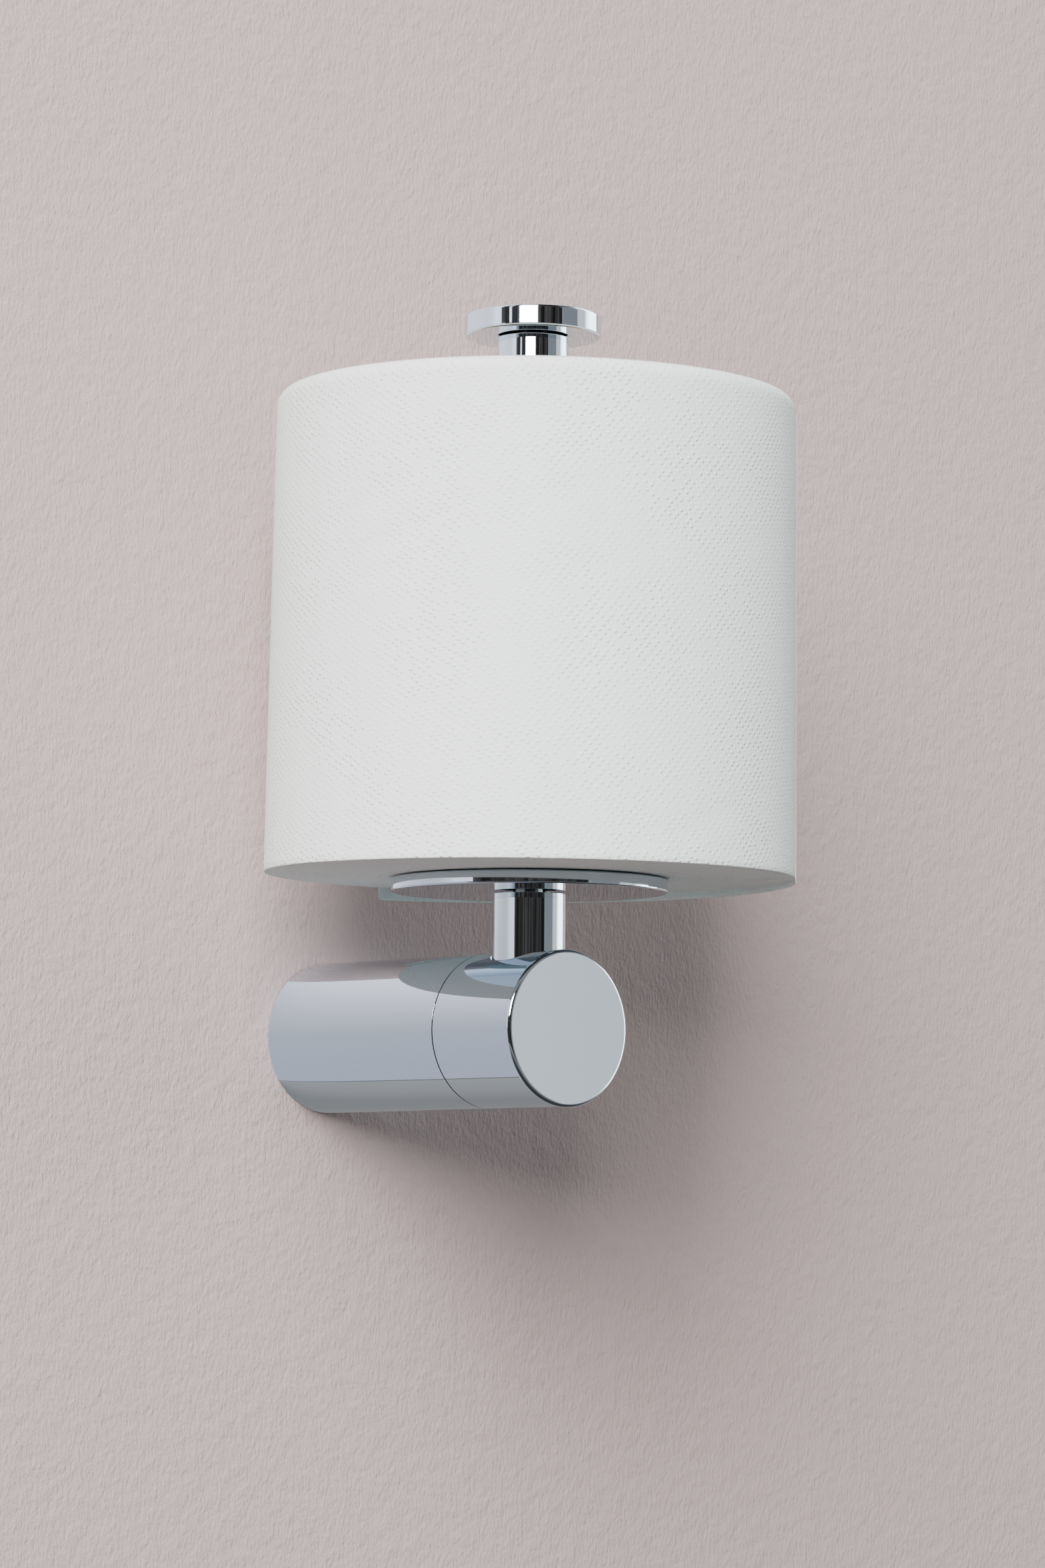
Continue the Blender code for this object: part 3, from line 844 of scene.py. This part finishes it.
class MakeRoll(bpy.types.Operator):
    """Wind the paper roll, with slack creases and uneven layer edges"""

    bl_idname = "roll_holder.make_roll"
    bl_label = "Paper roll"
    bl_options = {"REGISTER", "UNDO"}

    def execute(self, context):
        settings = context.scene.roll_holder_paper
        bm = bmesh.new()
        spin_outline(bm, self.outline(), 400, True)
        for vert in bm.verts:
            vert.co = self.settle(vert.co, settings)
        move(bm, TO_POST)
        roll = add_piece("wound_paper", bm, smooth_below=50.0)
        put_on(roll, tissue_face(settings), "roll_paper", "tissue_paper", "paper_roll")
        roll.data.materials.append(tissue_edges(settings))
        for face in roll.data.polygons:
            face.material_index = 1 if abs(face.normal.z) > 0.75 else 0
        wrap_map(roll.data, PAPER_RADIUS)
        return {"FINISHED"}

    @staticmethod
    def outline():
        """The section of the wound paper, as (radius, height) points."""
        inner = CORE_RADIUS + FIT
        shoulder = 0.0034
        edge = 0.0003
        rings, rows = 46, 84
        width = PAPER_RADIUS - shoulder - inner
        layers = [inner + width * ring / rings for ring in range(rings)]
        points = [(radius, PAPER_LOW) for radius in layers]
        points += [(PAPER_RADIUS - 0.0015, PAPER_LOW), (PAPER_RADIUS - edge, PAPER_LOW)]
        points.append((PAPER_RADIUS - edge * 0.3, PAPER_LOW + edge * 0.3))
        low, high = PAPER_LOW + edge, PAPER_HIGH - shoulder
        points += [(PAPER_RADIUS, low + (high - low) * row / rows) for row in range(rows)]
        points += shoulder_arc(shoulder, high, 90.0, 8)
        points += [(radius, PAPER_HIGH) for radius in reversed(layers)]
        return points

    @staticmethod
    def settle(place, settings):
        """Moves one point of the plain roll to where the slack, leaning paper has it."""
        radius = math.hypot(place.x, place.y)
        angle = math.atan2(place.y, place.x)
        share = (place.z - PAPER_LOW) / (PAPER_HIGH - PAPER_LOW)
        bite = (radius - CORE_RADIUS) / (PAPER_RADIUS - CORE_RADIUS)
        inside = PAPER_RADIUS - 0.001
        if radius > inside:
            radius -= paper_relief(angle, place.z)
        radius -= SLACK + settings.taper * share * bite
        height = place.z + slipped(radius, angle, settings)
        ring = noise.noise(Vector((radius * 950.0, angle * 0.7, 3.0 if share > 0.5 else 9.0)))
        if share < 0.001 and bite < 0.985:
            height += LOW_RUFFLE * (ring - 1.0)
        if share > 0.999:
            height -= HIGH_SINK + HIGH_RUFFLE * ring
        return leaning(radius, angle, height, settings, share * bite)


# ---------------- last sheet

class MakeSheet(bpy.types.Operator):
    """Hang the last sheet round the back of the roll, down to its perforated end"""

    bl_idname = "roll_holder.make_sheet"
    bl_label = "Last sheet"
    bl_options = {"REGISTER", "UNDO"}

    start = math.radians(-41.0)
    end = math.radians(85.0)
    drop_start = 0.0009
    drop_end = 0.0019

    def execute(self, context):
        settings = context.scene.roll_holder_paper
        shoulder = 0.0033
        rows, steps = 150, 96
        height = PAPER_HIGH - PAPER_LOW - shoulder
        bm = bmesh.new()
        profile = [(PAPER_RADIUS, height * row / rows) for row in range(rows)]
        profile += shoulder_arc(shoulder, height, 62.0, 6)
        verts = [bm.verts.new((radius * math.cos(self.start), radius * math.sin(self.start), rise))
                 for radius, rise in profile]
        edges = [bm.edges.new(pair) for pair in zip(verts, verts[1:])]
        bmesh.ops.spin(bm, geom=verts + edges, cent=(0, 0, 0), axis=(0, 0, 1),
                       angle=self.end - self.start, steps=steps, use_merge=False,
                       use_duplicate=False)
        for vert in bm.verts:
            vert.co = self.hang(vert.co, settings)
        bmesh.ops.recalc_face_normals(bm, faces=bm.faces)
        if sum(face.normal.dot(face.calc_center_median()) for face in bm.faces) < 0:
            bmesh.ops.reverse_faces(bm, faces=bm.faces)
        move(bm, TO_POST)
        sheet = add_piece("hanging_sheet", bm, smooth_below=60.0)
        wrap_map(sheet.data, PAPER_RADIUS)
        ply = sheet.modifiers.new("ply", "SOLIDIFY")
        ply.thickness = PLY
        ply.offset = 1.0
        put_on(sheet, tissue_face(settings), "roll_paper", "tissue_paper", "loose_sheet")
        return {"FINISHED"}

    def hang(self, place, settings):
        """Moves one point of the plain sheet to where it hangs."""
        radius, angle = math.hypot(place.x, place.y), math.atan2(place.y, place.x)
        share = (angle - self.start) / (self.end - self.start)
        height = place.z
        ripple = noise.noise(Vector((share * 5.0, height * 30.0, 4.0)))
        slack = 0.00005 + 0.00030 * share + 0.00006 * ripple
        if share > 0.999:
            angle += 0.0028 * (0.5 if round(height / 0.0007) % 2 else -0.5)
        level = PAPER_LOW - self.drop_start - share * (self.drop_end - self.drop_start)
        up = (height + level - PAPER_LOW) / (PAPER_HIGH - PAPER_LOW)
        share = max(up, 0.0) * 0.6
        radius += slack - settings.taper * share
        return leaning(radius, angle, height + level, settings, share)


# ---------------- studio

def toward(azimuth, elevation):
    """The unit direction from the holder at an azimuth and an elevation, in radians."""
    flat = math.cos(elevation)
    return Vector((math.sin(azimuth) * flat, -math.cos(azimuth) * flat, math.sin(elevation)))


def one_sided(finish):
    """Lets everything through from behind, so that the object shows from every side."""
    backfacing = finish.node("ShaderNodeNewGeometry", output="Backfacing")
    clear = finish.node("ShaderNodeBsdfTransparent")
    front = Value(finish, finish.shader.outputs[0])
    finish.show(finish.node("ShaderNodeMixShader", sockets={0: backfacing, 1: front, 2: clear}))


def mirror_card(name, bm, finish, colour, strength):
    """Adds a card that lights nothing and is seen only in polished surfaces."""
    card = add_piece(name, bm)
    for ray in ("camera", "diffuse", "shadow", "transmission", "volume_scatter"):
        setattr(card, "visible_" + ray, False)
    finish.show(finish.node("ShaderNodeEmission", sockets={"Color": colour, "Strength": strength}))
    card.data.materials.append(finish.material)


def reflected(finish, factor, stops, tint):
    """The colour and strength that a card needs for the chrome to show the stops' colours."""
    stops = [(at, [shown / share for shown, share in zip(colour, tint)]) for at, colour in stops]
    strength = max(max(colour) for _, colour in stops)
    stops = [(at, tuple(channel / strength for channel in colour)) for at, colour in stops]
    return finish.ramp(factor, stops), strength


def on_wall(corners):
    """A flat card close in front of the wall, from corners of (x, z)."""
    bm = bmesh.new()
    bm.faces.new([bm.verts.new((x, -CARD_GAP, z)) for x, z in corners])
    bmesh.ops.triangulate(bm, faces=bm.faces)
    return bm


def plane(name, size, place):
    """A square plane in the stage."""
    bm = bmesh.new()
    bmesh.ops.create_grid(bm, x_segments=1, y_segments=1, size=size / 2)
    move(bm, place)
    panel = add_piece(name, bm)
    return panel


WALL_PLACE = Matrix.Translation((0.0, -0.00005, 0.0)) @ Matrix.Rotation(math.pi / 2, 4, "X")
WALL_SIZE = 4.0
FLOOR_HEIGHT = -0.27
FLOOR_SIZE = 6.0
KEY_DISTANCE = 2.7
KEY_SIZE = (1.43, 2.2)
FILL_DISTANCE = 2.2
FILL_SIZE = (1.2, 1.2)
FILL_AZIMUTH = math.radians(72.0)
FILL_ELEVATION = math.radians(12.0)
AIM = Vector((0.0, POST_AXIS.y, 0.08))      # what the softboxes face
CARD_DISTANCE = 0.85
CARD_GAP = 0.0001         # how far the cards on the wall stand off it

CAMERA_PLACE = (-0.67938, -0.85163, -0.04312)
CAMERA_TURN = (40.907, 5.331, 0.404)    # yaw, pitch and roll in degrees
CAMERA_LENS = 109.65

DIM = (0.035, 0.034, 0.036)
TEAL = (0.19, 0.22, 0.25)
WINDOW = (3.3, 4.6, 5.2)

# Curved cards round the post: name, azimuth from and to, height from and to, how streaky, and
# the stops of what the chrome shows of them, as (azimuth, colour)
CARDS = (
    ("left_card", -100.0, -87.5, 0.0, 0.2, 0.0, (
        (-100.0, (0.9, 1.0, 1.3)),
        (-87.5, (1.1, 1.2, 1.3)),
    )),
    ("left_low_card", -100.0, -87.5, -0.6, 0.0, 0.0, ((-100.0, (0.25, 0.32, 0.40)),)),
    ("room_card", -87.5, 8.0, -0.6, 0.2, 1.0, ((-87.5, DIM), (8.0, (0.018, 0.02, 0.02)))),
    ("high_room_card", -95.0, -80.5, 0.2, 1.2, 0.5, ((-95.0, (0.05, 0.052, 0.058)),)),
    ("slit_card", -80.5, -76.5, 0.2, 1.2, 0.0, ((-80.5, (1.6, 1.65, 1.8)),)),
    ("beside_slit_card", -76.5, -64.0, 0.2, 1.2, 0.8, ((-76.5, (0.045, 0.047, 0.06)),)),
    ("high_right_room_card", -32.5, 8.0, 0.2, 1.2, 1.0, ((-32.5, DIM), (8.0, DIM))),
    ("right_card", 8.0, 90.0, -0.6, 1.2, 0.0, (
        (8.0, (0.24, 0.28, 0.31)),
        (12.0, TEAL),
        (37.0, TEAL),
        (39.5, (0.68, 0.76, 0.84)),
        (42.5, (0.62, 0.71, 0.79)),
        (45.0, (0.72, 0.80, 0.87)),
        (54.0, (0.62, 0.70, 0.76)),
        (60.0, (2.2, 2.6, 2.9)),
        (68.0, WINDOW),
        (90.0, WINDOW),
    )),
)


class MakeStudio(bpy.types.Operator):
    """Set up the wall, floor, lights, cards and camera"""

    bl_idname = "roll_holder.make_studio"
    bl_label = "Studio"
    bl_options = {"REGISTER", "UNDO"}

    def execute(self, context):
        settings = context.scene.roll_holder_studio
        self.wall(settings)
        self.floor(settings)
        self.softbox("softbox", KEY_SIZE, settings.key_power, KEY_DISTANCE,
                     settings.key_azimuth, settings.key_elevation)
        fill = self.softbox("fill", FILL_SIZE, settings.fill_power, FILL_DISTANCE,
                            FILL_AZIMUTH, FILL_ELEVATION)
        fill.visible_glossy = False
        self.sky(context, settings)
        tint = context.scene.roll_holder_chrome.tint
        for card in CARDS:
            self.card(*card, tint)
        self.ground_card(tint)
        self.back_card()
        self.bar_card(tint)
        self.low_bar_card(tint)
        self.camera(context)
        return {"FINISHED"}

    @staticmethod
    def wall(settings):
        """Painted plaster with a fine rolled grain."""
        wall = plane("wall", WALL_SIZE, WALL_PLACE)
        finish = Finish("painted_plaster", roughness=0.85)
        place = finish.object_place()
        cloud = finish.noise(place, 3.0, 2.0)
        low = tuple(channel * 0.97 for channel in settings.wall_colour)
        high = tuple(channel * 1.03 for channel in settings.wall_colour)
        finish.set("Base Color", finish.mix(cloud, low, high))
        grain = finish.noise(finish.object_place(stretch=(1.0, 1.0, 0.45)), 1100.0, 4.0, 0.6)
        lumps = finish.noise(place, 230.0, 3.0)
        finish.bump(grain + lumps * 1.2, 0.00045)
        one_sided(finish)
        wall.data.materials.append(finish.material)

    @staticmethod
    def floor(settings):
        """A plain pale floor well below the holder."""
        floor = plane("floor", FLOOR_SIZE, Matrix.Translation((0.0, 0.0, FLOOR_HEIGHT)))
        finish = Finish("plain_floor", roughness=0.8)
        cloud = finish.noise(finish.object_place(), 5.0, 3.0)
        low = tuple(channel * 0.97 for channel in settings.floor_colour)
        finish.set("Base Color", finish.mix(cloud, low, tuple(settings.floor_colour)))
        one_sided(finish)
        floor.data.materials.append(finish.material)
        floor.visible_diffuse = False
        floor.visible_glossy = False

    @staticmethod
    def softbox(name, size, power, distance, azimuth, elevation):
        """A rectangular softbox that faces the roll."""
        light = bpy.data.lights.new(name, "AREA")
        light.shape = "RECTANGLE"
        light.size, light.size_y = size
        light.energy = power
        light.color = (1.0, 0.99, 0.97)
        lamp = bpy.data.objects.new(name, light)
        out = toward(azimuth, elevation)
        lamp.location = AIM + out * distance
        lamp.rotation_euler = (-out).to_track_quat("-Z", "Y").to_euler()
        lamp.visible_camera = False
        bpy.context.scene.collection.objects.link(lamp)
        return lamp

    @staticmethod
    def sky(context, settings):
        """Soft light all round, stronger from above, kept out of the reflections."""
        world = bpy.data.worlds.new("studio_air")
        world.use_nodes = True
        context.scene.world = world
        air = Nodes(world.node_tree)
        up = air.parts(air.node("ShaderNodeTexCoord", output="Generated"))[2]
        span = {0: up, 1: -0.35, 2: 0.35, 3: settings.ground, 4: settings.sky}
        back = air.tree.nodes["Background"]
        air.feed(back.inputs["Color"], (1.0, 0.99, 1.0))
        air.feed(back.inputs["Strength"], air.node("ShaderNodeMapRange", sockets=span))
        world.cycles_visibility.glossy = False

    @staticmethod
    def card(name, start, end, low, high, streaks, stops, tint):
        """A curved card round the post's axis."""
        bm = bmesh.new()
        first = toward(math.radians(start), 0.0) * CARD_DISTANCE
        ends = [bm.verts.new((first.x, first.y, height)) for height in (low, high)]
        edge = bm.edges.new(ends)
        bmesh.ops.spin(bm, geom=[*ends, edge], cent=(0, 0, 0), axis=(0, 0, 1),
                       angle=math.radians(end - start), steps=48, use_merge=False,
                       use_duplicate=False)
        move(bm, TO_POST)
        finish = Finish(name)
        x, y, z = finish.parts(finish.object_place(centre=POST_AXIS))
        azimuth = x.maths("ARCTAN2", x, 0.0 - y)
        share = (azimuth - math.radians(start)) / math.radians(end - start)
        shares = [((at - start) / (end - start), colour) for at, colour in stops]
        colour, strength = reflected(finish, share, shares, tint)
        if streaks:
            folds = finish.noise(finish.vector(azimuth, z * 0.5), 9.0, 3.0, 0.7)
            streak = finish.step(folds, 0.36, 0.64, 1.0 - 0.8 * streaks, 1.0 + streaks)
            strength = strength * streak
        mirror_card(name, bm, finish, colour, strength)

    @staticmethod
    def ground_card(tint):
        """The dim ground that the chrome shows below."""
        bm = bmesh.new()
        bmesh.ops.create_circle(bm, cap_ends=True, segments=48, radius=0.9)
        move(bm, Matrix.Translation((0.0, POST_AXIS.y, FLOOR_HEIGHT + 0.002)))
        finish = Finish("ground_card")
        x, y, _ = finish.parts(finish.object_place(centre=POST_AXIS))
        far = (x * x + y * y).root()
        stops = ((0.0, (0.03, 0.032, 0.035)), (0.35, (0.045, 0.05, 0.055)),
                 (0.6, (0.17, 0.19, 0.21)), (1.0, (0.22, 0.25, 0.28)))
        mirror_card("ground_card", bm, finish, *reflected(finish, far, stops, tint))

    @staticmethod
    def back_card():
        """The grey room behind the wall, which the bracket's back and the plugs reflect."""
        bm = bmesh.new()
        bmesh.ops.create_grid(bm, x_segments=1, y_segments=1, size=2.0)
        place = Matrix.Translation((0.0, 1.6, 0.0)) @ Matrix.Rotation(math.pi / 2, 4, "X")
        move(bm, place)
        finish = Finish("back_card")
        _, _, z = finish.parts(finish.object_place())
        shade = finish.ramp(finish.step(z, -1.5, 1.5), ((0.0, (0.3, 0.3, 0.3)), (1.0, (1, 1, 1))))
        mirror_card("back_card", bm, finish, shade, 0.8)

    @staticmethod
    def bar_card(tint):
        """A glowing card close in front of the wall beside the bar, which only the bar's flank
        shows: a painted reflection standing in for the wall there.
        """
        corners = ((-0.0115, 1.2), (-1.2, 1.2), (-1.2, -1.2), (-0.308, -1.2), (-0.0139, -0.00975),
                   (-0.0115, 0.0))
        finish = Finish("bar_card")
        x, _, z = finish.parts(finish.object_place())
        turn = z.maths("ARCTAN2", z, 0.0 - x) / math.pi + 0.5
        # The stops and the lift paint the bright band that the bar's flank reflects.
        stops = ((0.0, (0.42, 0.48, 0.62)), (0.25, (0.42, 0.48, 0.62)), (0.5, (0.46, 0.53, 0.66)),
                 (0.6, (0.60, 0.66, 0.78)), (0.85, (1.0, 1.08, 1.28)), (1.0, (1.1, 1.16, 1.36)))
        near, strength = reflected(finish, turn, stops, tint)
        lift = 1.0 + 0.9 * finish.step(0.0 - x, 0.10, 0.35) * finish.step(z, 0.0, 0.02)
        mirror_card("bar_card", on_wall(corners), finish, near, strength * lift)

    @staticmethod
    def low_bar_card(tint):
        """A glowing card close in front of the wall under the bar, which only the bar's underside
        shows: a painted reflection of the dimmer wall there.
        """
        near = (-0.0139, -0.00985)
        corners = (near, (-0.308, -1.2), (1.2, -1.2), (1.2, -0.5), (0.010, -0.0144))
        finish = Finish("low_bar_card")
        x, _, z = finish.parts(finish.object_place(centre=(near[0], 0.0, near[1])))
        turn = x.maths("ARCTAN2", x, 0.0 - z) / math.pi + 0.5
        # The first stop paints a thin dark line along the card's upper edge, a painted reflection.
        stops = ((0.425, (0.10, 0.11, 0.12)), (0.436, (0.31, 0.34, 0.365)),
                 (0.55, (0.28, 0.30, 0.33)), (0.70, (0.20, 0.22, 0.24)))
        shown = reflected(finish, turn, stops, tint)
        mirror_card("low_bar_card", on_wall(corners), finish, *shown)

    @staticmethod
    def camera(context):
        """A long lens below and to the left of the roll."""
        data = bpy.data.cameras.new("camera")
        data.lens = CAMERA_LENS
        data.sensor_width = 36.0
        data.clip_start, data.clip_end = 0.05, 20.0
        camera = bpy.data.objects.new("camera", data)
        yaw, pitch, roll = (math.radians(angle) for angle in CAMERA_TURN)
        turn = Matrix.Rotation(-yaw, 4, "Z") @ Matrix.Rotation(math.pi / 2 + pitch, 4, "X")
        camera.rotation_euler = (turn @ Matrix.Rotation(roll, 4, "Z")).to_euler()
        camera.location = CAMERA_PLACE
        context.scene.collection.objects.link(camera)
        context.scene.camera = camera


# ---------------- add-on

OPERATORS = (MakeStudio, MakeBar, MakePost, MakeFixings, MakeCore, MakeRoll, MakeSheet)


class RollHolderPanel(bpy.types.Panel):
    """Lists what the roll holder is built from"""

    bl_idname = "VIEW3D_PT_roll_holder"
    bl_label = "Roll Holder"
    bl_space_type = "VIEW_3D"
    bl_region_type = "UI"
    bl_category = "Roll Holder"

    def draw(self, context):
        groups = (context.scene.roll_holder_chrome, context.scene.roll_holder_paper,
                  context.scene.roll_holder_studio)
        for group in groups:
            box = self.layout.box()
            for name in group.bl_rna.properties.keys():
                if name not in {"rna_type", "name"}:
                    box.prop(group, name)
        for operator in OPERATORS:
            self.layout.operator(operator.bl_idname)


CLASSES = (ChromeSettings, PaperSettings, StudioSettings, *OPERATORS, RollHolderPanel)


def register():
    for cls in CLASSES:
        bpy.utils.register_class(cls)
    bpy.types.Scene.roll_holder_chrome = PointerProperty(type=ChromeSettings)
    bpy.types.Scene.roll_holder_paper = PointerProperty(type=PaperSettings)
    bpy.types.Scene.roll_holder_studio = PointerProperty(type=StudioSettings)


def unregister():
    del bpy.types.Scene.roll_holder_studio
    del bpy.types.Scene.roll_holder_paper
    del bpy.types.Scene.roll_holder_chrome
    for cls in reversed(CLASSES):
        bpy.utils.unregister_class(cls)


def main():
    register()
    for operator in OPERATORS:
        group, name = operator.bl_idname.split(".")
        getattr(getattr(bpy.ops, group), name)()


if __name__ == "__main__":
    main()
